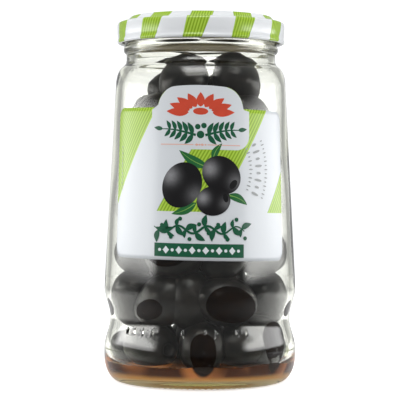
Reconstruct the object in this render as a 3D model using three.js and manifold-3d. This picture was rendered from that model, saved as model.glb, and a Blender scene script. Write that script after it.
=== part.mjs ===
// A tapered glass jar of pitted black olives with a twist-off metal lid and a
// wrap-on front label. Millimetres, +Z up, standing on z = 0 with its axis on
// the Z axis and the label facing -Y.
import * as THREE from "three";
import { mergeVertices } from "three/addons/utils/BufferGeometryUtils.js";
import Module from "manifold-3d";

const wasm = await Module();
wasm.setup();

// Driving dimensions of the glass.
const ROUND_STEPS = 36;
const FILL_STEPS = 24;
const BODY_RADIUS = 34.65;
const HEEL_HEIGHT = 9;
const FOOT_RADIUS = 29;
const FOOT_INNER_RADIUS = 25.5;
const PUSH_UP = 2.6;
const WAIST = { z: 23, radius: 32.5, reach: 11 };
const SHOULDER = { z: 106.5, radius: 30.7, drop: 7.1, crown: 27.2 };
const NECK = { radius: 26.9, bore: 24.5, z: 115.6 };
const BEAD = { z: 119.5, radius: 27.95, reach: 1.5 };
const FINISH_RADIUS = 26.8;
const RIM_Z = 128.9;
const RIM_ROUND = 0.8;
const WALL = 2.1;
const FLOOR = { edge: 3.6, centre: 4.8, radius: 26.5, rise: 6.9 };

// Driving dimensions of the lid, the label and the fill.
const LID = { radius: 30.1, bottom: 121.6, top: 131.2, sheet: 0.5, curl: 0.85, corner: 1.1 };
const LID_RING = { inner: 23.2, outer: 25.9, foot: 27.1, drop: 1.7, sunk: 0.6, slope: 1.3 };
const LABEL = { left: -35.2, right: 34.2, bottom: 44.8, top: 97.2, corner: 3.2 };
const PLAQUE = { half: 15.2, top: 105, round: 6.5, dome: 0.006 };
const LABEL_TILT = THREE.MathUtils.degToRad(1);
const LABEL_THICK = 0.2;
const LABEL_GAP = 0.1;
const FILL_GAP = 0.35;
const OLIVE = { long: 10.9, wide: 8.5, mouth: 2.6, depth: 5, sides: 6, steps: 4 };
const HEAP_TOP = NECK.z + 0.6;

// Outer radius of the glass between the heel and the crown of the shoulder.
function glassRadius(z) {
  const waistTop = WAIST.z + WAIST.reach;
  if (z < WAIST.z - WAIST.reach) return BODY_RADIUS;
  if (z < waistTop) {
    const dip = 0.5 + 0.5 * Math.cos((Math.PI * (z - WAIST.z)) / WAIST.reach);
    return BODY_RADIUS - (BODY_RADIUS - WAIST.radius) * dip;
  }
  const rise = (z - waistTop) / (SHOULDER.z - waistTop);
  if (rise < 1) return BODY_RADIUS + (SHOULDER.radius - BODY_RADIUS) * rise;
  const over = Math.min(1, (z - SHOULDER.z) / SHOULDER.drop);
  return SHOULDER.crown + (SHOULDER.radius - SHOULDER.crown) * Math.sqrt(1 - over * over);
}

// Points of an elliptical arc, with angles in degrees from the outward direction.
function arc(radius, z, across, along, from, to, steps) {
  const points = [];
  for (let i = 0; i <= steps; i++) {
    const a = THREE.MathUtils.degToRad(from + ((to - from) * i) / steps);
    points.push(new THREE.Vector2(radius + across * Math.cos(a), z + along * Math.sin(a)));
  }
  return points;
}

// Points of the body wall, from one height to another, set in by a thickness.
function wall(from, to, steps, inset) {
  const points = [];
  for (let i = 0; i <= steps; i++) {
    const z = from + ((to - from) * i) / steps;
    points.push(new THREE.Vector2(glassRadius(z) - inset, z));
  }
  return points;
}

// Drops points that repeat the one before them.
function tidy(points) {
  return points.filter((p, i) => i === 0 || p.distanceTo(points[i - 1]) > 1e-3);
}

const WAIST_LOW = WAIST.z - WAIST.reach;
const WAIST_HIGH = WAIST.z + WAIST.reach;
const CROWN_SHARE = 0.985;
const CROWN_Z = SHOULDER.z + SHOULDER.drop * CROWN_SHARE;

// The inside of the glass, from the middle of the floor up to the rim.
function innerWall(gap) {
  const floorLift = FLOOR.centre - FLOOR.edge;
  const bodyInner = BODY_RADIUS - WALL;
  const points = [new THREE.Vector2(0, FLOOR.centre + gap)];
  points.push(new THREE.Vector2(FLOOR.radius * 0.5, FLOOR.edge + floorLift * 0.6 + gap));
  const heelZ = FLOOR.edge + FLOOR.rise;
  const across = bodyInner - FLOOR.radius - gap;
  points.push(...arc(FLOOR.radius, heelZ, across, FLOOR.rise - gap, -90, 0, 4));
  points.push(...wall(WAIST_LOW, WAIST_HIGH, 6, WALL + gap));
  points.push(...wall(WAIST_HIGH, SHOULDER.z - 1, 1, WALL + gap));
  const turnZ = SHOULDER.z - 1;
  const turnHeight = SHOULDER.drop - WALL + 2.4;
  const turn = SHOULDER.radius - WALL - NECK.bore;
  points.push(...arc(NECK.bore - gap, turnZ, turn, turnHeight, 15, 75, 3));
  points.push(new THREE.Vector2(NECK.bore - gap, HEAP_TOP));
  return points;
}

function glass() {
  const outside = [
    new THREE.Vector2(0, PUSH_UP),
    new THREE.Vector2(FOOT_INNER_RADIUS * 0.55, PUSH_UP * 0.72),
    new THREE.Vector2(FOOT_INNER_RADIUS * 0.85, PUSH_UP * 0.3),
    new THREE.Vector2(FOOT_INNER_RADIUS, 0),
    ...arc(FOOT_RADIUS, HEEL_HEIGHT, BODY_RADIUS - FOOT_RADIUS, HEEL_HEIGHT, -90, 0, 5),
    ...wall(WAIST_LOW, WAIST_HIGH, 8, 0),
    ...wall(WAIST_HIGH, SHOULDER.z, 1, 0),
    ...wall(SHOULDER.z, CROWN_Z, 4, 0),
    new THREE.Vector2(NECK.radius + 0.25, NECK.z - 1.3),
    new THREE.Vector2(NECK.radius, NECK.z),
    new THREE.Vector2(NECK.radius, BEAD.z - BEAD.reach - 0.8),
    ...arc(NECK.radius, BEAD.z, BEAD.radius - NECK.radius, BEAD.reach, -90, 90, 4),
    ...arc(FINISH_RADIUS - RIM_ROUND, RIM_Z - RIM_ROUND, RIM_ROUND, RIM_ROUND, 0, 90, 2),
    new THREE.Vector2(NECK.bore + RIM_ROUND, RIM_Z),
    new THREE.Vector2(NECK.bore, RIM_Z - RIM_ROUND),
  ];
  const inside = innerWall(0).reverse();
  return new THREE.LatheGeometry(tidy([...outside, ...inside]), ROUND_STEPS);
}

// A pressed sheet lid: recessed panel, raised ring, shoulder, skirt and rolled edge.
function lid() {
  const { radius, bottom, top, sheet, curl, corner } = LID;
  const { inner, outer, foot, drop, sunk, slope } = LID_RING;
  const panelZ = top - sunk;
  const footZ = top - drop;
  const skirtZ = footZ - corner - 0.3;
  const outside = [
    new THREE.Vector2(0, panelZ),
    new THREE.Vector2(inner, panelZ),
    new THREE.Vector2(inner + slope / 2, top - 0.1),
    new THREE.Vector2(inner + slope, top),
    new THREE.Vector2(outer - 0.4, top),
    new THREE.Vector2(outer, top - 0.3),
    new THREE.Vector2(foot, footZ),
    ...arc(radius - corner, skirtZ, corner, corner, 90, 0, 3),
    ...arc(radius - curl + 0.12, bottom + curl, curl, curl, 35, -215, 6),
  ];
  const inside = [
    new THREE.Vector2(radius - sheet, bottom + 2 * curl + 0.5),
    new THREE.Vector2(radius - sheet, skirtZ),
    new THREE.Vector2(radius - corner, footZ - 0.3 - sheet),
    new THREE.Vector2(foot - sheet, footZ - sheet),
    new THREE.Vector2(outer - sheet, top - 0.3 - sheet),
    new THREE.Vector2(inner + slope, top - sheet),
    new THREE.Vector2(inner, panelZ - sheet),
    new THREE.Vector2(0, panelZ - sheet),
  ];
  return new THREE.LatheGeometry([...outside, ...inside].reverse(), ROUND_STEPS);
}

// How far a rounded corner takes an edge in, at a distance past where it starts.
function rounding(past, round) {
  const share = Math.min(1, Math.max(0, past / round));
  return round * (1 - Math.sqrt(1 - share * share));
}

function labelTop(s) {
  const side = s < 0 ? -LABEL.left : LABEL.right;
  const edge = LABEL.top - rounding(Math.abs(s) - (side - LABEL.corner), LABEL.corner);
  const past = Math.abs(s) - (PLAQUE.half - PLAQUE.round);
  const dome = PLAQUE.top - rounding(past, PLAQUE.round) - PLAQUE.dome * s * s;
  return Math.abs(s) < PLAQUE.half ? Math.max(edge, dome) : edge;
}

function labelBottom(s) {
  const side = s < 0 ? -LABEL.left : LABEL.right;
  return LABEL.bottom + rounding(Math.abs(s) - (side - LABEL.corner), LABEL.corner);
}

// The label: a grid of columns round the jar, wrapped on the glass and closed.
function label() {
  const columns = [];
  const step = 2.6;
  const span = LABEL.right - LABEL.left;
  const count = Math.round(span / step);
  for (let i = 0; i <= count; i++) columns.push(LABEL.left + (span * i) / count);
  for (const s of [-1, 1]) {
    for (const back of [0.02, 0.5, 1.6]) {
      columns.push(s * (PLAQUE.half - back));
      const side = s < 0 ? LABEL.left : LABEL.right;
      columns.push(side - s * back);
    }
    columns.push(s * (PLAQUE.half + 0.02));
  }
  columns.sort((a, b) => a - b);
  const rows = 5;
  const points = [];
  const place = (s, z, lift) => {
    const tilted = z - Math.tan(LABEL_TILT) * s;
    const radius = glassRadius(tilted);
    const turn = s / radius;
    const out = radius + LABEL_GAP + lift;
    points.push(out * Math.sin(turn), -out * Math.cos(turn), tilted);
  };
  for (const lift of [0, LABEL_THICK]) {
    for (const s of columns) {
      for (let j = 0; j <= rows; j++) {
        const z = labelBottom(s) + ((labelTop(s) - labelBottom(s)) * j) / rows;
        place(s, z, lift);
      }
    }
  }
  const up = rows + 1;
  const sheet = columns.length * up;
  const faces = [];
  const quad = (a, b, c, d) => faces.push(a, b, c, a, c, d);
  for (let i = 0; i < columns.length - 1; i++) {
    for (let j = 0; j < rows; j++) {
      const a = i * up + j;
      quad(a, a + 1, a + up + 1, a + up);
      quad(sheet + a, sheet + a + up, sheet + a + up + 1, sheet + a + 1);
    }
    const low = i * up;
    const high = low + rows;
    quad(low, low + up, sheet + low + up, sheet + low);
    quad(high, sheet + high, sheet + high + up, high + up);
  }
  const last = (columns.length - 1) * up;
  for (let j = 0; j < rows; j++) {
    quad(j, sheet + j, sheet + j + 1, j + 1);
    quad(last + j, last + j + 1, sheet + last + j + 1, sheet + last + j);
  }
  const geometry = new THREE.BufferGeometry();
  geometry.setAttribute("position", new THREE.Float32BufferAttribute(points, 3));
  geometry.setIndex(faces);
  return geometry;
}

// One pitted olive along +Y: an egg with a drilled mouth at its top end.
function oliveGeometry(long, wide) {
  const mouthAt = Math.asin(OLIVE.mouth / wide);
  const points = [new THREE.Vector2(0, -long)];
  for (let i = 1; i <= OLIVE.steps; i++) {
    const a = Math.PI - ((Math.PI - mouthAt) * i) / OLIVE.steps;
    points.push(new THREE.Vector2(wide * Math.sin(a), long * Math.cos(a)));
  }
  points.push(new THREE.Vector2(OLIVE.mouth * 0.7, long - OLIVE.depth));
  points.push(new THREE.Vector2(0, long - OLIVE.depth));
  return new THREE.LatheGeometry(points, OLIVE.sides);
}

// LatheGeometry turns its outline about Y, so lathe-made pieces are stood up on +Z.
function upright(geometry) {
  return geometry.rotateX(Math.PI / 2);
}

function solid(geometry) {
  const bare = geometry.clone();
  bare.deleteAttribute("normal");
  bare.deleteAttribute("uv");
  const merged = mergeVertices(bare, 1e-4);
  return new wasm.Manifold(
    new wasm.Mesh({
      numProp: 3,
      vertProperties: merged.attributes.position.array,
      triVerts: new Uint32Array(merged.index.array),
    }),
  );
}

function toGeometry(manifold) {
  const mesh = manifold.getMesh();
  const geometry = new THREE.BufferGeometry();
  geometry.setAttribute("position", new THREE.BufferAttribute(mesh.vertProperties, 3));
  geometry.setIndex(new THREE.BufferAttribute(mesh.triVerts, 1));
  return geometry;
}

// The olives lie in rows against the glass, the top row heaped in the neck. Each
// row has its height, the scale of its olives, and for each olive the turn round
// the jar from the front, the lean of its right end, its swing out of the row, and
// how far the glass presses it in.
const ROWS = [
  { z: 11.6, scale: 0.88, olives: [[-91, 10, 5, 0.3], [98, 12, 6, 0.3]] },
  { z: 14.0, scale: 1, olives: [[-47, -4, -4, -0.4]] },
  { z: 14.4, scale: 0.9, olives: [[2, 58, 92, 0.4]] },
  { z: 14.0, scale: 1, olives: [
    [37, 3, 3, -0.4], [53, 78, 0, 1.2], [137, 20, -7, 0.1], [182, -15, 4, 0.5], [226, 30, 4, 0.2],
  ] },
  { z: 30.4, scale: 1, olives: [
    [-77, 78, 0, 0.1], [-32, 35, 0, 0.1], [-9, 84, 0, -1.2], [20, -14, 3, 2.2], [75, 74, 4, 0.2],
    [108, 30, -6, 0.8], [156, -12, 8, 0.2], [199, 20, -5, 0.9], [242, -30, 6, -0.2],
  ] },
  { z: 46.6, scale: 1, olives: [
    [-68, 14, 8, -0.1], [-21, 8, -3, 1.2], [21, 55, 5, 0.2], [59, -12, -6, 0], [101, 10, 6, 0.6],
    [146, -30, 5, 1], [192, 14, -8, 0.1], [244, 36, 4, -0.5],
  ] },
  { z: 62.4, scale: 1, olives: [
    [-84, 20, -5, -2.2], [-38, -25, 6, -0.4], [6, 10, -4, -0.3], [50, -35, 7, -0.4],
    [93, 15, -6, -2.2], [140, 35, 5, 0.6], [186, -10, -6, 0.4], [233, 5, 7, 0.8],
  ] },
  { z: 78.4, scale: 1, olives: [
    [-74, -10, 5, -0.8], [-24, 30, -6, -0.4], [24, -8, 4, -0.3], [72, 25, -8, -0.7],
    [124, -20, 6, 0.3], [174, 40, -5, 0.6], [226, -5, 6, 0],
  ] },
  { z: 94.4, scale: 1, olives: [
    [-57, 38, 6, -2.2], [2, -10, -4, -1.4], [58, -34, 5, -1.9], [116, 12, -7, -1],
    [176, -20, 6, -0.3], [238, 25, -5, -0.9],
  ] },
  { z: 107.4, scale: 1, olives: [
    [-24, 66, 0, -5], [52, -60, 0, -4.2], [132, 20, 8, -4.2], [220, -30, -6, -4.6],
  ] },
];
const PRESS_Z = 14;

// An even spread of values from -1 to 1, one for each whole number.
const spread = (k, step) => 2 * ((k * step + 0.31) % 1) - 1;

// One olive of the heap at its place.
function placedOlive(row, [turnDegrees, leanDegrees, swing, press], k) {
  const turn = THREE.MathUtils.degToRad(turnDegrees);
  const lean = THREE.MathUtils.degToRad(leanDegrees);
  const yaw = THREE.MathUtils.degToRad(turnDegrees + swing);
  const size = row.scale + 0.04 * spread(k, 0.414);
  const along = new THREE.Vector3(
    Math.cos(yaw) * Math.cos(lean),
    Math.sin(yaw) * Math.cos(lean),
    Math.sin(lean),
  );
  const out = glassRadius(Math.max(row.z, PRESS_Z)) - WALL - row.scale * OLIVE.wide + press;
  const centre = new THREE.Vector3(
    out * Math.sin(turn),
    -out * Math.cos(turn),
    row.z + 0.5 * spread(k, 0.707),
  );
  const place = new THREE.Matrix4().compose(
    centre,
    new THREE.Quaternion().setFromUnitVectors(new THREE.Vector3(0, 1, 0), along),
    new THREE.Vector3(1, 1, 1),
  );
  return oliveGeometry(OLIVE.long * size, OLIVE.wide * size).applyMatrix4(place);
}

const CORE = {
  radius: 18, foot: 17, low: 6.5, bevel: 5, shoulder: 82, neck: 9, neckZ: 103, top: 108, sides: 20,
};

// The whole heap: a core with the olives fused on, cut to the inside of the glass.
function olives() {
  const core = [
    new THREE.Vector2(0, CORE.low),
    new THREE.Vector2(CORE.foot, CORE.low),
    new THREE.Vector2(CORE.radius, CORE.low + CORE.bevel),
    new THREE.Vector2(CORE.radius, CORE.shoulder),
    new THREE.Vector2(CORE.neck, CORE.neckZ),
    new THREE.Vector2(0, CORE.top),
  ];
  let heap = solid(upright(new THREE.LatheGeometry(core, CORE.sides)));
  let k = 0;
  for (const row of ROWS) {
    for (const olive of row.olives) {
      k += 1;
      heap = heap.add(solid(placedOlive(row, olive, k)));
    }
  }
  const roomOutline = tidy([...innerWall(FILL_GAP), new THREE.Vector2(0, HEAP_TOP)]);
  const room = solid(upright(new THREE.LatheGeometry(roomOutline, FILL_STEPS)));
  const bodies = heap.intersect(room).decompose();
  return toGeometry(bodies.sort((a, b) => b.volume() - a.volume())[0]);
}

const jar = new THREE.Group();

function add(name, geometry, color, roughness, metalness, more = {}) {
  const material = new THREE.MeshStandardMaterial({ color, roughness, metalness, ...more });
  const mesh = new THREE.Mesh(geometry, material);
  mesh.name = name;
  jar.add(mesh);
}

add("jar_glass", upright(glass()), 0xe8eee6, 0.05, 0, { transparent: true, opacity: 0.3 });
add("lid", upright(lid()), 0xe9edef, 0.3, 0.1);
add("label", label(), 0xf0f3f5, 0.35, 0);
add("olives", olives(), 0x24201f, 0.45, 0);

export default jar;
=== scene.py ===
import math

import bmesh
import bpy
from mathutils import Matrix, Vector, noise


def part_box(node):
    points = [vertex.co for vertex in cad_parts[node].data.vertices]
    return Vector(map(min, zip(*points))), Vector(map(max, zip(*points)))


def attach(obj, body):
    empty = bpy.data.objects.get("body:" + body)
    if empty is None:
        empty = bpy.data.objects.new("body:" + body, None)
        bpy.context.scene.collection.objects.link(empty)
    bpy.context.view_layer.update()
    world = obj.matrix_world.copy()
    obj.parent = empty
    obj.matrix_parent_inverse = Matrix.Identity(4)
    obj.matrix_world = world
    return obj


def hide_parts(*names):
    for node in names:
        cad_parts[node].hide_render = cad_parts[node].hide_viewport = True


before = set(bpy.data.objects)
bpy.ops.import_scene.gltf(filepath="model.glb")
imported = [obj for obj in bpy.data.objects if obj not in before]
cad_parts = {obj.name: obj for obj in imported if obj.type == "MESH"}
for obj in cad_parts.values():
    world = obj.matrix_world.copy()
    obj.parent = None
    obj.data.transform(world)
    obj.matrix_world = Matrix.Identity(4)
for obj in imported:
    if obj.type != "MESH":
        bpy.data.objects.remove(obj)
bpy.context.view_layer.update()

# The camera stands at eye level with the middle of the jar, half a metre or so
# in front of it, and looks all but level through a long lens. Sizes are in
# metres, and MM turns millimetres into them.
MM = 0.001
eye_distance = 570 * MM
eye_height = 70.35 * MM
camera_data = bpy.data.cameras.new("camera")
camera_data.sensor_width = 36.0
camera_data.lens = 141.3
camera = bpy.data.objects.new("camera", camera_data)
camera.location = (-0.1 * MM, -eye_distance, eye_height)
look_down = math.radians(0.51)
jar_lean = math.radians(0.22)
aim = Matrix.Rotation(math.pi / 2 - look_down, 4, "X") @ Matrix.Rotation(jar_lean, 4, "Z")
camera.matrix_world = Matrix.Translation(camera.location) @ aim
bpy.context.scene.collection.objects.link(camera)
bpy.context.scene.camera = camera

# The glass jar: one pressed and blown piece of clear flint glass. It has a
# dotted foot ring, a rounded heel, a bulge and a waist for the fingers, a
# tapered body, a round shoulder, and a neck with a bead below the thread.
body_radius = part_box("jar_glass")[1][0]
rim_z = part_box("jar_glass")[1][2]
waist_z, waist_radius, waist_reach = 23 * MM, 32.5 * MM, 11 * MM
shoulder_z, shoulder_radius = 106.5 * MM, 30.7 * MM
shoulder_drop, crown_radius = 7.1 * MM, 27.2 * MM
neck_z, neck_radius, bore_radius = 115.6 * MM, 26.9 * MM, 24.5 * MM
bead_z, bead_radius, bead_reach = 119.5 * MM, 27.95 * MM, 1.5 * MM
heel_height, foot_radius = 9 * MM, 29 * MM
wall_thickness, rim_round = 2.1 * MM, 0.8 * MM
floor_edge, floor_centre, floor_radius, floor_rise = 3.6 * MM, 4.8 * MM, 26.5 * MM, 6.9 * MM


def glass_radius(z):
    """Outer radius of the glass between the heel and the crown of the shoulder."""
    waist_top = waist_z + waist_reach
    if z < waist_z - waist_reach:
        return body_radius
    if z < waist_top:
        dip = 0.5 + 0.5 * math.cos(math.pi * (z - waist_z) / waist_reach)
        return body_radius - (body_radius - waist_radius) * dip
    rise = (z - waist_top) / (shoulder_z - waist_top)
    if rise < 1:
        return body_radius + (shoulder_radius - body_radius) * rise
    over = min(1.0, (z - shoulder_z) / shoulder_drop)
    return crown_radius + (shoulder_radius - crown_radius) * math.sqrt(1 - over * over)


def inner_radius(z):
    """Radius of the inside of the glass from its floor to the neck."""
    heel_z = floor_edge + floor_rise
    if z < heel_z:
        share = min(1.0, (heel_z - z) / floor_rise)
        across = body_radius - wall_thickness - floor_radius
        return floor_radius + across * math.sqrt(max(0.0, 1 - share * share))
    turn_z = shoulder_z - 1 * MM
    if z < turn_z:
        return glass_radius(z) - wall_thickness
    turn_height = shoulder_drop - wall_thickness + 2.4 * MM
    over = min(1.0, (z - turn_z) / turn_height)
    reach = shoulder_radius - wall_thickness - bore_radius
    return bore_radius + reach * math.sqrt(1 - over * over)


def floor_z(radius):
    """Height of the glass floor inside the jar."""
    if radius <= floor_radius:
        share = radius / floor_radius
        return floor_centre + (floor_edge - floor_centre) * share * share
    across = body_radius - wall_thickness - floor_radius
    share = min(1.0, (radius - floor_radius) / across)
    return floor_edge + floor_rise * (1 - math.sqrt(1 - share * share))


def spaced(start, end, count):
    """Evenly spaced values from start to end, both included."""
    return [start + (end - start) * i / (count - 1) for i in range(count)]


def arc(radius, z, across, along, start, end, count):
    """Points of an elliptical arc, with angles in degrees from the outward direction."""
    turns = [math.radians(a) for a in spaced(start, end, count)]
    return [(radius + across * math.cos(a), z + along * math.sin(a)) for a in turns]


def round_turns(count):
    """Angles spaced evenly round a full circle."""
    return [math.tau * j / count for j in range(count)]


def at_turn(turn, radius, z):
    """A point at a radius from the jar's axis, turned from its front."""
    return Vector((radius * math.sin(turn), -radius * math.cos(turn), z))


def piece_of(name, bm):
    """A new object in the scene, from a finished mesh."""
    mesh = bpy.data.meshes.new(name)
    bm.to_mesh(mesh)
    bm.free()
    piece = bpy.data.objects.new(name, mesh)
    bpy.context.scene.collection.objects.link(piece)
    return piece


def lathe(name, outline, turns, move=None):
    """A closed body turned about Z from an outline whose two ends lie on the axis."""
    bm = bmesh.new()
    uv = bm.loops.layers.uv.new("turned")
    low_pole = bm.verts.new((0, 0, outline[0][1]))
    high_pole = bm.verts.new((0, 0, outline[-1][1]))
    run = [0.0]
    for (r0, z0), (r1, z1) in zip(outline, outline[1:]):
        run.append(run[-1] + math.hypot(r1 - r0, z1 - z0))
    rings = []
    for i, (r, z) in enumerate(outline[1:-1], start=1):
        ring = []
        for turn in turns:
            dr, dz = move(i, turn, r, z) if move else (0.0, 0.0)
            ring.append(bm.verts.new(at_turn(turn, r + dr, z + dz)))
        rings.append(ring)
    around = len(turns)

    def face(corners, places):
        """A smooth face, with each corner's place on the unrolled surface."""
        made = bm.faces.new(corners)
        made.smooth = True
        for loop, place in zip(made.loops, places):
            loop[uv].uv = place

    for j in range(around):
        k = (j + 1) % around
        u0 = turns[j] / math.tau
        u1 = turns[k] / math.tau + (1 if k == 0 else 0)
        face((low_pole, rings[0][k], rings[0][j]), ((u0, 0), (u1, run[1]), (u0, run[1])))
        for i in range(len(rings) - 1):
            v0, v1 = run[i + 1], run[i + 2]
            corners = (rings[i][j], rings[i][k], rings[i + 1][k], rings[i + 1][j])
            face(corners, ((u0, v0), (u1, v0), (u1, v1), (u0, v1)))
        face((rings[-1][j], rings[-1][k], high_pole), ((u0, run[-2]), (u1, run[-2]), (u0, run[-1])))
    bmesh.ops.recalc_face_normals(bm, faces=bm.faces)
    return piece_of(name, bm)


foot_dots, steps_per_dot = 90, 4
dot_height = 0.6 * MM
foot_rows = [(26.2 * MM, dot_height), (27.2 * MM, 0.0), (28.6 * MM, 0.0), (29.8 * MM, 0.12 * MM)]
outline = [(0.0, 2.6 * MM), (8 * MM, 2.4 * MM), (16 * MM, 1.7 * MM), (22 * MM, 0.8 * MM), *foot_rows]
foot_count = len(outline)
outline += arc(foot_radius, heel_height, body_radius - foot_radius, heel_height, -72, 0, 12)
outline += [(glass_radius(z), z) for z in spaced(waist_z - waist_reach, waist_z + waist_reach, 34)]
outline += [(glass_radius(z), z) for z in spaced(waist_z + waist_reach + 3 * MM, shoulder_z - 2 * MM, 9)]
outline += [(glass_radius(z), z) for z in spaced(shoulder_z, shoulder_z + shoulder_drop * 0.97, 9)]
outline += [(neck_radius + 0.25 * MM, neck_z - 1.3 * MM)]
outline += [(neck_radius, neck_z), (neck_radius, neck_z + 1.2 * MM)]
outline += arc(neck_radius, bead_z, bead_radius - neck_radius, bead_reach, -90, 90, 9)
outline += [(neck_radius, z) for z in spaced(bead_z + 2.4 * MM, rim_z - 1.2 * MM, 12)]
outline += arc(neck_radius - rim_round, rim_z - rim_round, rim_round, rim_round, 20, 90, 4)
outline += arc(bore_radius + rim_round, rim_z - rim_round, rim_round, rim_round, 100, 180, 4)
inside_start = len(outline)
outline += [(bore_radius, z) for z in spaced(rim_z - 2.5 * MM, neck_z - 1 * MM, 6)]
inside_z = spaced(shoulder_z + 6.2 * MM, shoulder_z - 1 * MM, 9)
inside_z += spaced(shoulder_z - 5 * MM, waist_z + waist_reach, 14)
inside_z += spaced(waist_z + waist_reach - 1 * MM, waist_z - waist_reach, 18)
outline += [(inner_radius(z), z) for z in inside_z]
floor_turn = body_radius - wall_thickness - floor_radius
outline += arc(floor_radius, floor_edge + floor_rise, floor_turn, floor_rise, -8, -90, 10)
outline += [(r, floor_z(r)) for r in spaced(floor_radius * 0.8, floor_radius * 0.2, 4)]
outline += [(0.0, floor_centre)]

tick_z, tick_radius, tick_pitch = 19.7 * MM, 33.3 * MM, math.radians(6.6)
tick_relief, tick_half_height, tick_half_width = 0.9 * MM, 0.95 * MM, 0.6 * MM
tick_cuts = (-0.62, -0.38, -0.13, 0.13, 0.38, 0.62)
ticks = [math.radians(-49.7) + i * tick_pitch for i in (0, 1, 2, 3, 6, 8, 9, 11, 12)]
turns = round_turns(foot_dots * steps_per_dot)
for tick in ticks:
    for offset in tick_cuts:
        turns.append((tick + offset * MM / tick_radius) % math.tau)
turns = sorted(turns)
thread_starts, thread_climb = 4, 4 * MM
thread_relief, thread_half_height = 1.1 * MM, 0.9 * MM


def uneven(turn, z):
    """How far the blown inside of the glass strays from its true radius, fading out to the floor."""
    waves_round, wave_height, stray = 1.6, 26 * MM, 0.22 * MM
    steady_z, fade_height = 10 * MM, 8 * MM
    spot = Vector((math.sin(turn) * waves_round, math.cos(turn) * waves_round, z / wave_height))
    fade = min(1.0, max(0.0, (z - steady_z) / fade_height))
    return stray * fade * noise.noise(spot)


def glass_relief(i, turn, r, z):
    """The dots of the foot, the raised ticks above the bulge, the thread, and the uneven inside."""
    if foot_count - 3 <= i < foot_count:
        return 0.0, dot_height * (0.5 - 0.5 * math.cos(turn * foot_dots))
    if i >= inside_start:
        return uneven(turn, z), 0.0
    if abs(z - tick_z) < tick_half_height:
        tall = 1 - ((z - tick_z) / tick_half_height) ** 2
        for tick in ticks:
            across = (((turn - tick + math.pi) % math.tau) - math.pi) * tick_radius
            if abs(across) < tick_half_width:
                return tick_relief * tall * (1 - (across / tick_half_width) ** 2), 0.0
    if bead_z + 2 * MM < z < rim_z - 1.5 * MM:
        turned = (turn * thread_starts / math.tau) % 1.0
        ridge_z = bead_z + 3 * MM + thread_climb * turned
        return thread_relief * max(0.0, 1 - ((z - ridge_z) / thread_half_height) ** 2), 0.0
    return 0.0, 0.0


def new_material(name):
    """An empty material, with its shader and its node tree."""
    made = bpy.data.materials.new(name)
    made.use_nodes = True
    return made, made.node_tree.nodes["Principled BSDF"], made.node_tree


def glass_material(name, ior, absorb, density, shine=1.0):
    """A clear material: what it takes from the light grows with the depth of it."""
    made, shader, tree = new_material(name)
    shader.inputs["Base Color"].default_value = (1, 1, 1, 1)
    shader.inputs["Roughness"].default_value = 0.0
    shader.inputs["IOR"].default_value = ior
    shader.inputs["Specular Tint"].default_value = (shine, shine, shine, 1)
    shader.inputs["Transmission Weight"].default_value = 1.0
    volume = tree.nodes.new("ShaderNodeVolumeAbsorption")
    volume.inputs["Color"].default_value = (*absorb, 1)
    volume.inputs["Density"].default_value = density
    tree.links.new(volume.outputs["Volume"], tree.nodes["Material Output"].inputs["Volume"])
    return made


glass_ior, glass_tint, glass_depth = 1.49, (0.70, 0.72, 0.45), 55
# Below this height the glass, inside and out, gets a grey specular tint: painted shade that dims its
# reflections on the foot and the heel.
dimmed_base_height, dimmed_base_tint = 10.5 * MM, 0.3
jar = lathe("glass_jar", outline, turns, glass_relief)
jar.data.materials.append(glass_material("clear_glass", glass_ior, glass_tint, glass_depth))
jar.data.materials.append(glass_material("dimmed_base_glass", glass_ior, glass_tint, glass_depth, dimmed_base_tint))
for face in jar.data.polygons:
    if face.center.z < dimmed_base_height:
        face.material_index = 1
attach(jar, "root")
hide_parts("jar_glass")

# The lid: a twist-off cap pressed from tin plate, enamelled white with slanted
# green stripes. It has a rolled edge, a skirt drawn in a little above it, a
# rounded shoulder and a raised ring round its sunken panel.
lid_bottom, lid_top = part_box("lid")[0][2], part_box("lid")[1][2]
lid_radius, lid_sheet, curl = 30.24 * MM, 0.4 * MM, 0.85 * MM
ring_outer, ring_foot, ring_inner = 25.9 * MM, 27.3 * MM, 23.2 * MM
skirt_top = lid_top - 2.2 * MM
skirt_round = 1.0 * MM


def lid_outline():
    """The lid's outside from the middle of its top down, then its inside back up."""
    panel_z = lid_top - 0.6 * MM
    shape = [(0.0, panel_z)]
    shape += [(r, panel_z) for r in spaced(6 * MM, ring_inner - 1.2 * MM, 5)]
    shape += [(ring_inner, lid_top - 0.5 * MM), (ring_inner + 0.7 * MM, lid_top - 0.12 * MM)]
    shape += [(ring_inner + 1.3 * MM, lid_top), (ring_outer - 0.5 * MM, lid_top)]
    shape += arc(ring_outer - 0.5 * MM, lid_top - 0.5 * MM, 0.5 * MM, 0.5 * MM, 75, 15, 4)
    shape += [(ring_foot - 0.15 * MM, skirt_top + 0.55 * MM), (ring_foot + 0.3 * MM, skirt_top + 0.3 * MM)]
    round_z = skirt_top - skirt_round + 0.2 * MM
    shape += arc(lid_radius - skirt_round, round_z, skirt_round, skirt_round, 88, 0, 7)
    shape += [(lid_radius, skirt_top - 2 * MM), (lid_radius - 0.02 * MM, lid_bottom + 4.4 * MM)]
    shape += [(lid_radius - 0.1 * MM, lid_bottom + 3 * MM), (lid_radius - 0.26 * MM, lid_bottom + 1.9 * MM)]
    shape += arc(lid_radius - curl, lid_bottom + curl, curl, curl, 32, -210, 16)
    shape += [(lid_radius - 1.0 * MM, lid_bottom + 2.4 * MM)]
    shape += [(lid_radius - lid_sheet, skirt_top - skirt_round)]
    shape += [(lid_radius - skirt_round, skirt_top - lid_sheet), (ring_foot - lid_sheet, skirt_top)]
    shape += [(ring_outer - lid_sheet, lid_top - 0.9 * MM), (ring_inner + 1.3 * MM, lid_top - lid_sheet)]
    shape += [(ring_inner, panel_z - lid_sheet), (0.0, panel_z - lid_sheet)]
    return shape


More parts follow.
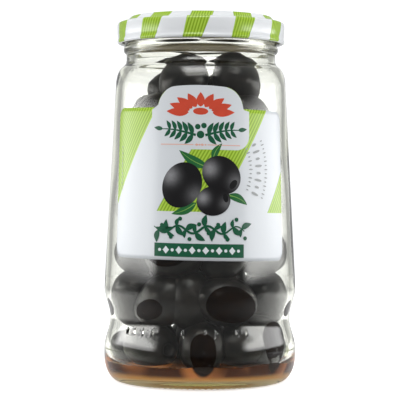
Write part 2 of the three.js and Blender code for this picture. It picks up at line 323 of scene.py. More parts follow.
def math_node(tree, kind, a, b=None, c=None, clamp=False):
    """A Math node fed by sockets or plain numbers."""
    made = tree.nodes.new("ShaderNodeMath")
    made.operation = kind
    made.use_clamp = clamp
    for socket, value in zip(made.inputs, (a, b, c)):
        if isinstance(value, (int, float)):
            socket.default_value = value
        elif value is not None:
            tree.links.new(value, socket)
    return made.outputs[0]


def product(tree, a, b, clamp=False):
    """The product of two sockets or numbers, held between 0 and 1 if asked."""
    return math_node(tree, "MULTIPLY", a, b, clamp=clamp)


def mix_colour(tree, share, low, high):
    """A mix of two colours, each a tuple or a socket, by a socket's share."""
    made = tree.nodes.new("ShaderNodeMix")
    made.data_type = "RGBA"
    tree.links.new(share, made.inputs[0])
    for socket, value in zip((made.inputs[6], made.inputs[7]), (low, high)):
        if isinstance(value, tuple):
            socket.default_value = (*value, 1)
        else:
            tree.links.new(value, socket)
    return made.outputs[2]


def stepped(tree, value, start, end, low, high):
    """A smooth change from one level to another as a value goes from start to end."""
    made = tree.nodes.new("ShaderNodeMapRange")
    made.interpolation_type = "SMOOTHSTEP"
    for name, level in (("From Min", start), ("From Max", end), ("To Min", low), ("To Max", high)):
        made.inputs[name].default_value = level
    tree.links.new(value, made.inputs["Value"])
    return made.outputs["Result"]


def axes_of(tree, kind, output):
    """The X, Y and Z of a vector that a node gives out."""
    split = tree.nodes.new("ShaderNodeSeparateXYZ")
    tree.links.new(tree.nodes.new(kind).outputs[output], split.inputs[0])
    return tuple(split.outputs)


def noise_value(tree, scale, detail=3.0):
    """A noise texture's value, at a scale for each metre."""
    coordinates = tree.nodes.new("ShaderNodeTexCoord")
    texture = tree.nodes.new("ShaderNodeTexNoise")
    texture.inputs["Scale"].default_value = scale
    texture.inputs["Detail"].default_value = detail
    tree.links.new(coordinates.outputs["Object"], texture.inputs["Vector"])
    return texture.outputs["Fac"]


def bump(tree, shader, height, distance):
    """Relief on a shader's normal from a height."""
    made = tree.nodes.new("ShaderNodeBump")
    made.inputs["Distance"].default_value = distance
    made.inputs["Strength"].default_value = 1.0
    tree.links.new(height, made.inputs["Height"])
    tree.links.new(made.outputs["Normal"], shader.inputs["Normal"])


leaf_green = (0.42, 0.62, 0.06)
hatch_green = (0.22, 0.38, 0.015)
lid_white = (0.79, 0.81, 0.83)
lacquer = (0.66, 0.56, 0.38)
hatch_contrast, hatch_level = 0.9, 0.45
lid_stripes, lid_stripe_turn, lid_stripe_slant = 11, 0.994, 0.65
lid_stripe_half, lid_stripe_taper, lid_stripe_edge, lid_stripe_lines = 0.4025, 0.19, 80, 16
panel_run, curl_run, inside_run = 8 * MM, 2.1 * MM, 4.2 * MM


def hatched_green(tree, across, lines):
    """The printed green with its fine darker lines, across being the number of stripes passed."""
    wave = math_node(tree, "SINE", product(tree, across, math.tau * lines))
    share = math_node(tree, "MULTIPLY_ADD", wave, hatch_contrast, hatch_level, clamp=True)
    return mix_colour(tree, share, leaf_green, hatch_green)


def lid_enamel(skirt_run):
    """White enamel with eleven slanted green stripes, which taper towards the skirt's edge."""
    made, shader, tree = new_material("lid_enamel")
    round_lid, run, _ = axes_of(tree, "ShaderNodeUVMap", "UV")
    down = math_node(tree, "DIVIDE", run, skirt_run)
    slant = product(tree, down, lid_stripe_slant)
    around = math_node(tree, "MULTIPLY_ADD", round_lid, lid_stripes, slant)
    along = math_node(tree, "FRACT", math_node(tree, "ADD", around, lid_stripe_turn))
    half = math_node(tree, "MULTIPLY_ADD", down, -lid_stripe_taper, lid_stripe_half)
    off = math_node(tree, "ABSOLUTE", math_node(tree, "SUBTRACT", along, 0.5))
    within = math_node(tree, "SUBTRACT", half, off)
    within = product(tree, within, lid_stripe_edge, clamp=True)
    beyond_panel = math_node(tree, "GREATER_THAN", run, panel_run)
    above_curl = math_node(tree, "LESS_THAN", run, skirt_run + curl_run)
    printed = product(tree, beyond_panel, above_curl)
    green = hatched_green(tree, around, lid_stripe_lines)
    outside = mix_colour(tree, product(tree, within, printed), lid_white, green)
    lacquered = math_node(tree, "GREATER_THAN", run, skirt_run + inside_run)
    tree.links.new(mix_colour(tree, lacquered, outside, lacquer), shader.inputs["Base Color"])
    rough = math_node(tree, "MULTIPLY_ADD", noise_value(tree, 900), 0.08, 0.14)
    tree.links.new(rough, shader.inputs["Roughness"])
    bump(tree, shader, noise_value(tree, 260), 0.05 * MM)
    return made


lid_path = lid_outline()
lid = lathe("lid_cap", lid_path, round_turns(220))
curl_start = next(i for i, (r, z) in enumerate(lid_path) if r > 20 * MM and z < lid_bottom + 2 * MM)
skirt_run = sum(math.dist(a, b) for a, b in zip(lid_path, lid_path[1:curl_start + 1]))
lid.data.materials.append(lid_enamel(skirt_run))
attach(lid, "root")
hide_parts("lid")

# The label: glossy white paper with green slanted stripes, die-cut with rounded
# corners and a domed tab, and glued on the front of the glass a little askew.
label_left, label_right = -35.2 * MM, 34.2 * MM
label_bottom, label_top, label_corner = 44.8 * MM, 97.2 * MM, 3.2 * MM
tab_half, tab_top, tab_round = 15.2 * MM, 105 * MM, 6.5 * MM
label_tilt = math.tan(math.radians(1))
paper_lift, paper_thickness, print_thickness = 0.04 * MM, 0.12 * MM, 0.012 * MM
tab_dome = 6.0
strip_width = 0.9 * MM


def wrapped(s, z, lift):
    """The place on the glass of a point at s along the label and z up it."""
    height = z - label_tilt * s
    return at_turn(s / glass_radius(height), glass_radius(height) + lift, height)


def rounding(past, radius):
    """How far a rounded corner takes an edge in, at a distance past where it starts."""
    share = min(1.0, max(0.0, past / radius))
    return radius * (1 - math.sqrt(1 - share * share))


def paper_top(s):
    """Height of the sheet's upper edge, with its tab, at s along the label."""
    side = -label_left if s < 0 else label_right
    edge = label_top - rounding(abs(s) - (side - label_corner), label_corner)
    dome = tab_top - rounding(abs(s) - (tab_half - tab_round), tab_round) - tab_dome * s * s
    return max(edge, dome) if abs(s) < tab_half else edge


def paper_bottom(s):
    """Height of the sheet's lower edge at s along the label."""
    side = -label_left if s < 0 else label_right
    return label_bottom + rounding(abs(s) - (side - label_corner), label_corner)


def wrapped_print(name, shapes, lift, made):
    """Printed shapes, each an outline of (s, z) points in millimetres and what its texture is
    measured from: a middle, a reach and a tilt. Cut into narrow strips and wrapped on the glass."""
    bm = bmesh.new()
    uv = bm.loops.layers.uv.new("flat")
    for points, (middle_s, middle_z, reach, tilt) in shapes:
        face = bm.faces.new([bm.verts.new((s * MM, z * MM, 0)) for s, z in points])
        cos, sin = math.cos(tilt), math.sin(tilt)
        for loop, (s, z) in zip(face.loops, points):
            away, up = (s - middle_s) / reach, (z - middle_z) / reach
            loop[uv].uv = (away * cos + up * sin, up * cos - away * sin)
    bmesh.ops.triangulate(bm, faces=bm.faces[:])
    cut = min(v.co.x for v in bm.verts) + strip_width
    end = max(v.co.x for v in bm.verts)
    while cut < end:
        everything = bm.verts[:] + bm.edges[:] + bm.faces[:]
        bmesh.ops.bisect_plane(bm, geom=everything, plane_co=(cut, 0, 0), plane_no=(1, 0, 0))
        cut += strip_width
    for vert in bm.verts:
        vert.co = wrapped(vert.co.x, vert.co.y, lift)
    bm.normal_update()
    for face in bm.faces:
        out = face.calc_center_median()
        if face.normal.x * out.x + face.normal.y * out.y < 0:
            face.normal_flip()
    bm.normal_update()
    bmesh.ops.solidify(bm, geom=bm.faces[:], thickness=print_thickness)
    bmesh.ops.recalc_face_normals(bm, faces=bm.faces[:])
    piece = piece_of(name, bm)
    piece.data.materials.append(made)
    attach(piece, "root")


label_white = (0.67, 0.7, 0.73)
stripe_width, stripe_start, stripe_low = 20.6 * MM, -16 * MM, 61.4 * MM
stripe_slope = math.tan(math.radians(60))
stripe_top = label_top - 0.6 * MM
stripe_lines, stripe_edge, foot_edge = 17, 120, 6000


def gloss(shader):
    """The varnish on the print."""
    shader.inputs["Roughness"].default_value = 0.35
    shader.inputs["Specular IOR Level"].default_value = 0.3
    shader.inputs["Coat Weight"].default_value = 0.3
    shader.inputs["Coat Roughness"].default_value = 0.12


def label_paper_material():
    """White paper with slanted green stripes of fine lines, ending in a white foot."""
    made, shader, tree = new_material("label_paper")
    s, z, _ = axes_of(tree, "ShaderNodeUVMap", "UV")
    below = math_node(tree, "SUBTRACT", stripe_top, z)
    along = math_node(tree, "MULTIPLY_ADD", below, 1 / stripe_slope, s)
    across = math_node(tree, "DIVIDE", math_node(tree, "SUBTRACT", along, stripe_start), stripe_width)
    pair = math_node(tree, "FRACT", product(tree, across, 0.5))
    stripe = product(tree, math_node(tree, "SUBTRACT", pair, 0.5), stripe_edge, clamp=True)
    above_foot = math_node(tree, "SUBTRACT", z, stripe_low)
    above_foot = product(tree, above_foot, foot_edge, clamp=True)
    green = hatched_green(tree, across, stripe_lines)
    share = product(tree, stripe, above_foot)
    tree.links.new(mix_colour(tree, share, label_white, green), shader.inputs["Base Color"])
    gloss(shader)
    bump(tree, shader, noise_value(tree, 700), 0.02 * MM)
    return made


def paper_sheet():
    """The sheet itself, a fine grid of columns round the jar, closed front to back."""
    columns = spaced(label_left, label_right, 116)
    rows = 40
    for side in (-1, 1):
        end = label_left if side < 0 else label_right
        for back in (0.05, 0.2, 0.5, 0.9):
            columns += [side * (tab_half - back * MM), end - side * back * MM]
        columns += [side * (tab_half + 0.02 * MM)]
    columns = sorted(columns)
    bm = bmesh.new()
    uv = bm.loops.layers.uv.new("flat")
    flat = {}
    grid = []
    for s in columns:
        column = []
        for j in range(rows + 1):
            z = paper_bottom(s) + (paper_top(s) - paper_bottom(s)) * j / rows
            vert = bm.verts.new(wrapped(s, z, paper_lift))
            flat[vert] = (s, z)
            column.append(vert)
        grid.append(column)
    for left, right in zip(grid, grid[1:]):
        for j in range(rows):
            made = bm.faces.new((left[j], right[j], right[j + 1], left[j + 1]))
            made.smooth = True
            for loop in made.loops:
                loop[uv].uv = flat[loop.vert]
    bm.normal_update()
    bmesh.ops.solidify(bm, geom=bm.faces[:], thickness=-paper_thickness)
    bmesh.ops.recalc_face_normals(bm, faces=bm.faces[:])
    return piece_of("label_paper", bm)


paper = paper_sheet()
paper.data.materials.append(label_paper_material())
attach(paper, "root")
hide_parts("label")

# The print over the stripes: a white plaque with a red fan and a dark green
# sprig, black olives with leaves, a vine, a bar of lozenges and grey stitches.
# Each ink is a thin flat layer on the paper, and its shapes are in millimetres.
ink_lift = paper_lift + paper_thickness + print_thickness
next_ink = 1.5 * print_thickness


def ink(name, colour, mottle=0.06):
    """A varnished ink, a little uneven."""
    made, shader, tree = new_material(name)
    darker = tuple(c * (1 - mottle) for c in colour)
    uneven_ink = mix_colour(tree, noise_value(tree, 300), darker, colour)
    tree.links.new(uneven_ink, shader.inputs["Base Color"])
    gloss(shader)
    bump(tree, shader, noise_value(tree, 700), 0.02 * MM)
    return made


def flat(points):
    """An outline whose texture needs no place of its own."""
    return points, (0, 0, 1, 0)


def turned_shape(points, s, z, degrees):
    """Points turned about the origin, then moved to a place on the label."""
    cos, sin = math.cos(math.radians(degrees)), math.sin(math.radians(degrees))
    return [(s + x * cos - y * sin, z + x * sin + y * cos) for x, y in points]


def oval(s, z, along, across, degrees=0.0, steps=28):
    """An ellipse about a place, given by its two half widths."""
    points = [(along * math.cos(a), across * math.sin(a)) for a in round_turns(steps)]
    return turned_shape(points, s, z, degrees)


def leaf(s, z, length, width, degrees, bend=0.0):
    """A pointed leaf that starts at a place and runs the way it is turned."""
    upper = []
    lower = []
    for t in spaced(0, 1, 13):
        half = width / 2 * math.sin(math.pi * t ** 0.8) ** 0.9
        middle = bend * math.sin(math.pi * t)
        upper.append((length * t, middle + half))
        lower.append((length * t, middle - half))
    return turned_shape(lower[:-1] + upper[:0:-1], s, z, degrees)


def lozenge(s, z, wide, tall):
    """A diamond about a place."""
    return [(s - wide / 2, z), (s, z - tall / 2), (s + wide / 2, z), (s, z + tall / 2)]


def stroke(path, widths):
    """A line of changing width along a path."""
    left = []
    right = []
    for i, (x, y) in enumerate(path):
        x0, y0 = path[max(0, i - 1)]
        x1, y1 = path[min(len(path) - 1, i + 1)]
        run = math.hypot(x1 - x0, y1 - y0)
        nx, ny = -(y1 - y0) / run, (x1 - x0) / run
        left.append((x + nx * widths[i] / 2, y + ny * widths[i] / 2))
        right.append((x - nx * widths[i] / 2, y - ny * widths[i] / 2))
    return right + left[::-1]


plaque_half, plaque_low, plaque_round = 17.6, 82.9, 5.0
plaque_shoulder, tab_foot, tab_edge, tab_inset = 96.4, (15.4, 96.9), 15.1, 0.12
plaque = [(plaque_half, plaque_shoulder), tab_foot]
plaque += [(s, paper_top(s * MM) / MM - tab_inset) for s in spaced(tab_edge, -tab_edge, 61)]
plaque += [(-tab_foot[0], tab_foot[1]), (-plaque_half, plaque_shoulder)]
for side, start in ((-1, 180), (1, 270)):
    for degrees in spaced(start, start + 90, 9):
        a = math.radians(degrees)
        corner = side * (plaque_half - plaque_round)
        plaque.append((corner + plaque_round * math.cos(a), plaque_low + plaque_round * (1 + math.sin(a))))
wrapped_print("label_plaque", [flat(plaque)], ink_lift, ink("plaque_white", label_white, 0.02))
ink_lift += next_ink

fan = []
fan_z, fan_wide, fan_tall, petal_width = 95.4, 12.0, 7.2, 2.9
for degrees in spaced(4, 176, 9):
    a = math.radians(degrees)
    s0, z0 = 0.34 * fan_wide * math.cos(a), 0.3 * fan_tall * math.sin(a)
    s1, z1 = fan_wide * math.cos(a), fan_tall * math.sin(a)
    length = math.hypot(s1 - s0, z1 - z0)
    heading = math.degrees(math.atan2(z1 - z0, s1 - s0))
    fan.append(flat(leaf(s0, fan_z + z0, length, petal_width, heading)))
fan.append(flat(oval(0, fan_z + 0.6, 2.6, 1.2)))
wrapped_print("label_fan", fan, ink_lift, ink("fan_red", (0.68, 0.075, 0.035), 0.25))

dark_green = (0.006, 0.098, 0.045)
sprig = []
sprig_z = 89.2
for side in (-1, 1):
    path = [(side * (1.6 + 12 * t), sprig_z - 1.4 + 2 * math.sin(1.7 * t)) for t in spaced(0, 1, 13)]
    sprig.append(flat(stroke(path, spaced(0.9, 0.3, 13))))
    for i in range(5):
        s, z = path[1 + 2 * i]
        for up in (-1, 1):
            heading = 58 * up + 8
            turn = heading if side > 0 else 180 - heading
            sprig.append(flat(leaf(s, z, 4.5 - 0.3 * i, 1.75 - 0.1 * i, turn, 0.25 * up * side)))
    s, z = path[-1]
    sprig.append(flat(leaf(s - side * 0.3, z, 3.4, 1.5, 8 if side > 0 else 172)))
sprig.append(flat(oval(0, sprig_z - 1.2, 1.3, 1.3)))
sprig.append(flat(oval(-0.95, sprig_z + 1.5, 0.95, 0.95)))
sprig.append(flat(oval(1.15, sprig_z + 1.9, 0.95, 0.95)))
wrapped_print("label_sprig", sprig, ink_lift, ink("sprig_green", dark_green, 0.2))

rule_z = 84.5
rule = [flat(stroke([(side * 2.4, rule_z), (side * 14, rule_z)], (0.3, 0.3))) for side in (-1, 1)]
rule += [flat(lozenge(s, rule_z, 1.5, 0.9)) for s in (-1.3, 0.6)]
rule += [flat(oval(s, rule_z, 0.3, 0.3)) for s in (-0.35, 1.75)]
wrapped_print("label_rule", rule, ink_lift, ink("rule_red", (0.76, 0.42, 0.33)))

leaf_bend = 0.7
olive_shapes = [(-6.4, 70.6, 8.1, 6.7, 62), (7.4, 74.3, 7.2, 6.1, -38), (4.6, 65.4, 5.9, 5.1, 14)]
sprays = [(2.6, 76.8, 11.5, 3.4, 150), (-1.4, 64.6, 9.5, 3.0, 205)]
sprays += [(9.5, 67.4, 8.0, 2.9, -24), (4.2, 79.0, 7.0, 2.4, 62)]
leaves = [flat(leaf(*spray, leaf_bend)) for spray in sprays]
wrapped_print("label_leaves", leaves, ink_lift, ink("leaf_ink", (0.018, 0.15, 0.04), 0.3))
veins = []
for s, z, length, _, degrees in sprays:
    path = [(length * t, leaf_bend * math.sin(math.pi * t)) for t in spaced(0.06, 0.88, 9)]
    veins.append(flat(stroke(turned_shape(path, s, z, degrees), spaced(0.34, 0.1, 9))))


bloom_fall = -8.0
blooms_at = ((-0.42, 0.5, 1.0), (0.5, -0.55, 0.45))
paint_black, bloom_grey = (0.0035, 0.003, 0.004), (0.24, 0.24, 0.25)


def painted_olive():
    """A painted black olive: a grey bloom towards the light and a fainter one below."""
    made, shader, tree = new_material("painted_olive")
    x, y, _ = axes_of(tree, "ShaderNodeUVMap", "UV")
    blooms = []
    for at_x, at_y, strength in blooms_at:
        off_x = math_node(tree, "SUBTRACT", x, at_x)
        off_y = math_node(tree, "SUBTRACT", y, at_y)
        square = math_node(tree, "MULTIPLY_ADD", off_y, off_y, product(tree, off_x, off_x))
        near = math_node(tree, "EXPONENT", product(tree, square, bloom_fall))
        blooms.append(product(tree, near, strength))
    grain = math_node(tree, "MULTIPLY_ADD", noise_value(tree, 900, 2), 0.5, 0.75)
    glow = product(tree, math_node(tree, "ADD", *blooms), grain, clamp=True)
    tree.links.new(mix_colour(tree, glow, paint_black, bloom_grey), shader.inputs["Base Color"])
    gloss(shader)
    return made


ink_lift += next_ink
wrapped_print("label_veins", veins, ink_lift, ink("vein_green", (0.2, 0.42, 0.08)))
olive_paint = painted_olive()
mouth_paint = ink("mouth_black", (0.004, 0.004, 0.005), 0.0)
for number, (s, z, along, across, degrees) in enumerate(olive_shapes, start=1):
    light = math.radians(12 * number)
    body = [(oval(s, z, along, across, degrees, 40), (s, z, along, light))]
    wrapped_print(f"label_olive_{number}", body, ink_lift, olive_paint)
    ink_lift += next_ink
    a = math.radians(degrees)
    out = along * 0.72
    mouth = oval(s + out * math.cos(a), z + out * math.sin(a), along * 0.15, across * 0.3, degrees)
    wrapped_print(f"label_mouth_{number}", [flat(mouth)], ink_lift, mouth_paint)
    ink_lift += next_ink

vine_z, vine_wave, vine_steps = 55.4, 1.3, 60
path = [(s, vine_z + vine_wave * math.sin(s * 0.62)) for s in spaced(-16.4, 15.6, vine_steps)]
vine = [flat(stroke(path, [0.3 + 0.5 * math.sin(math.pi * t) for t in spaced(0, 1, vine_steps)]))]
for number, i in enumerate(range(3, vine_steps - 2, 6)):
    s, z = path[i]
    slope = math.degrees(math.atan2(path[i + 1][1] - z, path[i + 1][0] - s))
    side = 1 if number % 2 else -1
    vine.append(flat(leaf(s, z, 4.3, 2.0, slope + 62 * side, 0.35 * side)))
    vine.append(flat(leaf(s, z, 3.0, 1.4, slope - 58 * side, -0.3 * side)))
    s, z = path[i + 2]
    vine.append(flat(oval(s + 0.3, z - 2.4 * side, 0.7, 0.7)))
wrapped_print("label_vine", vine, ink_lift, ink("vine_green", dark_green, 0.2))

bar_low, bar_high, bar_left, bar_right = 46.0, 50.6, -16.2, 15.4
bar = [(bar_left, bar_low), (bar_right, bar_low), (bar_right, bar_high), (bar_left, bar_high)]
wrapped_print("label_bar", [flat(bar)], ink_lift, ink("bar_green", dark_green, 0.15))
ink_lift += next_ink
marks = []
middle = (bar_low + bar_high) / 2
for i, s in enumerate(spaced(bar_left + 2, bar_right - 2, 13)):
    marks.append(flat(lozenge(s, middle, 2.3, 2.7) if i % 2 else oval(s, middle, 0.55, 0.55)))
wrapped_print("label_lozenges", marks, ink_lift, ink("lozenge_white", (0.74, 0.78, 0.8), 0.03))

stitches = []
arc_s, arc_z, arc_rows = 1.6, 76.2, ((16.6, 0.55, 11), (20.0, 1.05, 8), (23.4, 0.5, 15))
hem_s, hem_z, hem_step, hem_count = -32.2, 68.5, 1.15, 14
for radius, size, count in arc_rows:
    for i, degrees in enumerate(spaced(26, -24, count)):
        a = math.radians(degrees)
        s, z = arc_s + radius * math.cos(a), arc_z + radius * math.sin(a)
        long = size * (1.5 if i % 2 else 0.9)
        stitches.append(flat(oval(s, z, long, size * 0.42, degrees, 10)))
for i in range(hem_count):
    stitches.append(flat(oval(hem_s, hem_z + hem_step * i, 0.16, 0.3 + 0.12 * (i % 3), 0, 8)))
wrapped_print("label_stitches", stitches, ink_lift, ink("stitch_grey", (0.3, 0.32, 0.32)))

# The olives: whole pitted black olives, soft and satin, packed in rows against
# the glass and heaped in the neck. Those that press on the glass are flattened
# there, and the wet flat of each shows as a dark patch.
olive_long, olive_wide = 10.9 * MM, 8.5 * MM
mouth_radius, mouth_depth = 2.3 * MM, 7 * MM
lowest_press = 14
rows = [
    (11.6, 0.88, [(-91, 10, 5, 0.3), (98, 12, 6, 0.3)]),
    (14.0, 1.0, [(-47, -4, -4, -0.4)]),
    (14.4, 0.9, [(2, 58, 92, 0.4)]),
    (14.0, 1.0, [(37, 3, 3, -0.4), (53, 78, 0, 1.2), (137, 20, -7, 0.1), (182, -15, 4, 0.5),
                 (226, 30, 4, 0.2)]),
    (30.4, 1.0, [(-77, 78, 0, 0.1), (-32, 35, 0, 0.1), (-9, 84, 0, -1.2), (20, -14, 3, 2.2),
                 (75, 74, 4, 0.2), (108, 30, -6, 0.8), (156, -12, 8, 0.2), (199, 20, -5, 0.9),
                 (242, -30, 6, -0.2)]),
    (46.6, 1.0, [(-68, 14, 8, -0.1), (-21, 8, -3, 1.2), (21, 55, 5, 0.2), (59, -12, -6, 0.0),
                 (101, 10, 6, 0.6), (146, -30, 5, 1.0), (192, 14, -8, 0.1), (244, 36, 4, -0.5)]),
    (62.4, 1.0, [(-84, 20, -5, -2.2), (-38, -25, 6, -0.4), (6, 10, -4, -0.3), (50, -35, 7, -0.4),
                 (93, 15, -6, -2.2), (140, 35, 5, 0.6), (186, -10, -6, 0.4), (233, 5, 7, 0.8)]),
    (78.4, 1.0, [(-74, -10, 5, -0.8), (-24, 30, -6, -0.4), (24, -8, 4, -0.3), (72, 25, -8, -0.7),
                 (124, -20, 6, 0.3), (174, 40, -5, 0.6), (226, -5, 6, 0.0)]),
    (94.4, 1.0, [(-57, 38, 6, -2.2), (2, -10, -4, -1.4), (58, -34, 5, -1.9), (116, 12, -7, -1.0),
                 (176, -20, 6, -0.3), (238, 25, -5, -0.9)]),
    (107.4, 1.0, [(-24, 66, 0, -5.0), (52, -60, 0, -4.2), (132, 20, 8, -4.2), (220, -30, -6, -4.6)]),
]
middle_z, middle_out, middle_turn = spaced(14, 100, 7), 7.5 * MM, 1.1


def spread(k, step):
    """A well spread value from -1 to 1 for each whole number."""
    return 2 * ((k * step + 0.31) % 1) - 1


def olive_depth(place, point):
    """How far out from an olive's middle a point lies, 1 being its skin."""
    centre, along, size = place
    offset = point - centre
    lengthwise = offset.dot(along)
    crosswise = math.sqrt(max(0.0, offset.length_squared - lengthwise * lengthwise))
    return math.hypot(lengthwise / (olive_long * size), crosswise / (olive_wide * size))


def olive_places():
    """Each olive's centre, its long axis, and its size. Its row gives its turn from the front, the
    lean of its right end, its swing out of the row, and how many millimetres the glass presses it in."""
    places = []
    for z, scale, row in rows:
        room = inner_radius(max(z, lowest_press) * MM)
        for turn_degrees, lean_degrees, swing, press in row:
            k = len(places) + 1
            turn = math.radians(turn_degrees)
            lean = math.radians(lean_degrees)
            yaw = math.radians(turn_degrees + swing)
            along = Vector((math.cos(yaw) * math.cos(lean), math.sin(yaw) * math.cos(lean), math.sin(lean)))
            out = room - scale * olive_wide + press * MM
            centre = at_turn(turn, out, (z + 0.5 * spread(k, 0.707)) * MM)
            places.append((centre, along, scale + 0.04 * spread(k, 0.414)))
    for i, z in enumerate(middle_z):
        for side in (-1, 1):
            k = len(places) + 1
            turn = middle_turn * i + (0 if side < 0 else math.pi)
            centre = at_turn(math.pi - turn, middle_out, (z + 3 * side) * MM)
            along = Vector((spread(k, 0.57), spread(k, 0.755), spread(k, 0.31))).normalized()
            places.append((centre, along, 1.0))
    return places


def olive_skin(name, pale, dark, rough_low, rough_high, shine, relief):
    """Dark olive skin, mottled brown, with fine wrinkles."""
    made, shader, tree = new_material(name)
    share = math_node(tree, "MULTIPLY_ADD", noise_value(tree, 210, 4), 3.2, -1.25, clamp=True)
    tree.links.new(mix_colour(tree, share, dark, pale), shader.inputs["Base Color"])
    grain = noise_value(tree, 500)
    rough = math_node(tree, "MULTIPLY_ADD", grain, rough_high - rough_low, rough_low)
    tree.links.new(rough, shader.inputs["Roughness"])
    shader.inputs["Specular IOR Level"].default_value = shine
    bump(tree, shader, noise_value(tree, 330, 2), relief)
    return made


glass_gap, floor_gap = 0.04 * MM, 0.05 * MM


def held_in(point):
    """A point moved in to the inside of the glass, if it lies beyond it."""
    out = math.hypot(point.x, point.y)
    limit = inner_radius(point.z) + uneven(math.atan2(point.x, -point.y), point.z) - glass_gap
    if out > limit:
        point = Vector((point.x * limit / out, point.y * limit / out, point.z))
        out = limit
    return Vector((point.x, point.y, max(point.z, floor_z(min(out, floor_radius)) + floor_gap)))


def band(bm, lower, upper):
    """Faces between two rings of as many points."""
    around = len(lower)
    for j in range(around):
        k = (j + 1) % around
        bm.faces.new((lower[j], lower[k], upper[k], upper[j])).smooth = True


def add_olive(bm, place, number):
    """One olive in the heap, with its drilled mouth, pushed in where the jar stops it."""
    centre, along, size = place
    side = along.cross(Vector((0, 0, 1)) if abs(along.z) < 0.9 else Vector((1, 0, 0))).normalized()
    up = along.cross(side)
    around = round_turns(36)
    steps = 22
    outline = []
    mouth_share = math.asin(mouth_radius / olive_wide)
    for i in range(steps + 1):
        a = math.pi - (math.pi - mouth_share) * i / steps
        egg = 1 + 0.05 * math.cos(a)
        outline.append((olive_long * math.cos(a), olive_wide * egg * math.sin(a)))
    lip_x = outline[-1][0]
    outline += [(lip_x - 0.25 * MM, mouth_radius * 0.88), (lip_x - mouth_depth, mouth_radius * 0.7)]
    seed = Vector((number * 3.7, number * 1.9, number * 5.3))
    rings = []
    for x, r in outline[1:]:
        ring = []
        for b in around:
            local = along * x + (side * math.cos(b) + up * math.sin(b)) * r
            lump = 0.45 * MM * noise.noise(local / (7 * MM) + seed)
            crease = 0.1 * MM * noise.noise(local / (1.6 * MM) + seed)
            out = local.normalized()
            point = centre + local * size + out * (lump + crease)
            ring.append(bm.verts.new(held_in(point)))
        rings.append(ring)
    tail = bm.verts.new(held_in(centre + along * outline[0][0] * size * 0.985))
    pit = bm.verts.new(held_in(centre + along * outline[-1][0] * size))
    for lower, upper in zip(rings, rings[1:]):
        band(bm, lower, upper)
    for j in range(len(around)):
        k = (j + 1) % len(around)
        bm.faces.new((tail, rings[0][k], rings[0][j])).smooth = True
        bm.faces.new((rings[-1][j], rings[-1][k], pit)).smooth = True


press_radius, press_reach, press_deep = 30 * MM, 14 * MM, 0.97


def add_patch(bm, place):
    """The wet flat of an olive on the glass, just into the wall, if it reaches that far."""

    def depth(turn, z):
        """How deep in the olive a place on the inside of the glass lies."""
        return olive_depth(place, at_turn(turn, inner_radius(z), z))

    centre = place[0]
    turn = math.atan2(centre.x, -centre.y)
    z = centre.z
    step = 2 * MM
    while step > 0.05 * MM:
        best = min(
            ((turn + a * step / press_radius, z + b * step) for a in (-1, 0, 1) for b in (-1, 0, 1)),
            key=lambda spot: depth(*spot),
        )
        if best == (turn, z):
            step /= 2
        turn, z = best
    if depth(turn, z) > press_deep:
        return
    edge = round_turns(56)
    loops = []
    reach = []
    for b in edge:
        low, high = 0.0, press_reach
        for _ in range(18):
            middle = (low + high) / 2
            inside = depth(turn + middle * math.cos(b) / press_radius, z + middle * math.sin(b)) < 1
            low, high = (middle, high) if inside else (low, middle)
        reach.append(low)
    for share, lift in ((1.0, -0.05), (0.97, 0.06), (0.6, 0.07), (0.3, 0.07)):
        loop = []
        for b, out in zip(edge, reach):
            t = turn + share * out * math.cos(b) / press_radius
            h = z + share * out * math.sin(b)
            loop.append(bm.verts.new(at_turn(t, inner_radius(h) + uneven(t, h) + lift * MM, h)))
        loops.append(loop)
    for outer, inner in zip(loops, loops[1:]):
        band(bm, outer, inner)
    bm.faces.new(loops[-1]).smooth = True
    bm.faces.new(list(reversed(loops[0]))).smooth = True


heap = bmesh.new()
patches = bmesh.new()
for number, place in enumerate(olive_places()):
    add_olive(heap, place, number)
    add_patch(patches, place)


def heap_piece(name, bm, made):
    """A joined mesh of the heap as a piece that stands for the olives' solid."""
    bmesh.ops.recalc_face_normals(bm, faces=bm.faces[:])
    piece = piece_of(name, bm)
    piece.data.materials.append(made)
    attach(piece, "root")
    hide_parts("olives")


pale_skin, dark_skin = (0.026, 0.019, 0.016), (0.007, 0.006, 0.006)
pale_wet, dark_wet = (0.016, 0.007, 0.003), (0.009, 0.004, 0.002)
skin = olive_skin("olive_skin", pale_skin, dark_skin, 0.25, 0.45, 0.35, 0.05 * MM)
pressed = olive_skin("olive_pressed", pale_wet, dark_wet, 0.4, 0.5, 0.02, 0.01 * MM)
heap_piece("olive_heap", heap, skin)
heap_piece("olive_patches", patches, pressed)

# The brine: the last pool of dark brown liquid. It wets the floor of the jar,
# creeps up the glass and up the olives that stand in it, and climbs highest in
# the narrow gaps between two olives. Its colour holds painted light: a painted
# orange glow along its edge where it meets a single olive, and a painted amber
# and cream glow low down on the floor of the jar.
brine_z, brine_brim, wet = 6.2 * MM, 1.4 * MM, 0.1 * MM
creep, creep_reach = 1.2 * MM, 1.3 * MM
climb, climb_reach = 4.5 * MM, 1.6 * MM
standing = [place for place in olive_places() if place[0].z < 20 * MM]


def olive_gaps(spot):
    """How far a point lies from the olives that stand in the brine, the nearest first."""
    return sorted(max(0.0, olive_depth(place, spot) - 1) * olive_wide for place in standing)


def brine_rise(i, turn, r, z):
    """How the top of the brine rises to the olives that stand in it and in the gaps between them."""
    if z <= floor_edge:
        return 0.0, 0.0
    nearest, second = olive_gaps(at_turn(turn, r, brine_z))[:2]
    rise = creep * math.exp(-nearest / creep_reach) + climb * math.exp(-second / climb_reach)
    if i >= top_start:
        return 0.0, rise
    top = brine_z + brine_brim
    level = floor_edge + (z - floor_edge) * (top + rise - floor_edge) / (top - floor_edge)
    share = min(1.0, (z - floor_edge) / (brine_z - floor_edge))
    return inner_radius(level) - inner_radius(z), (level - z) * share


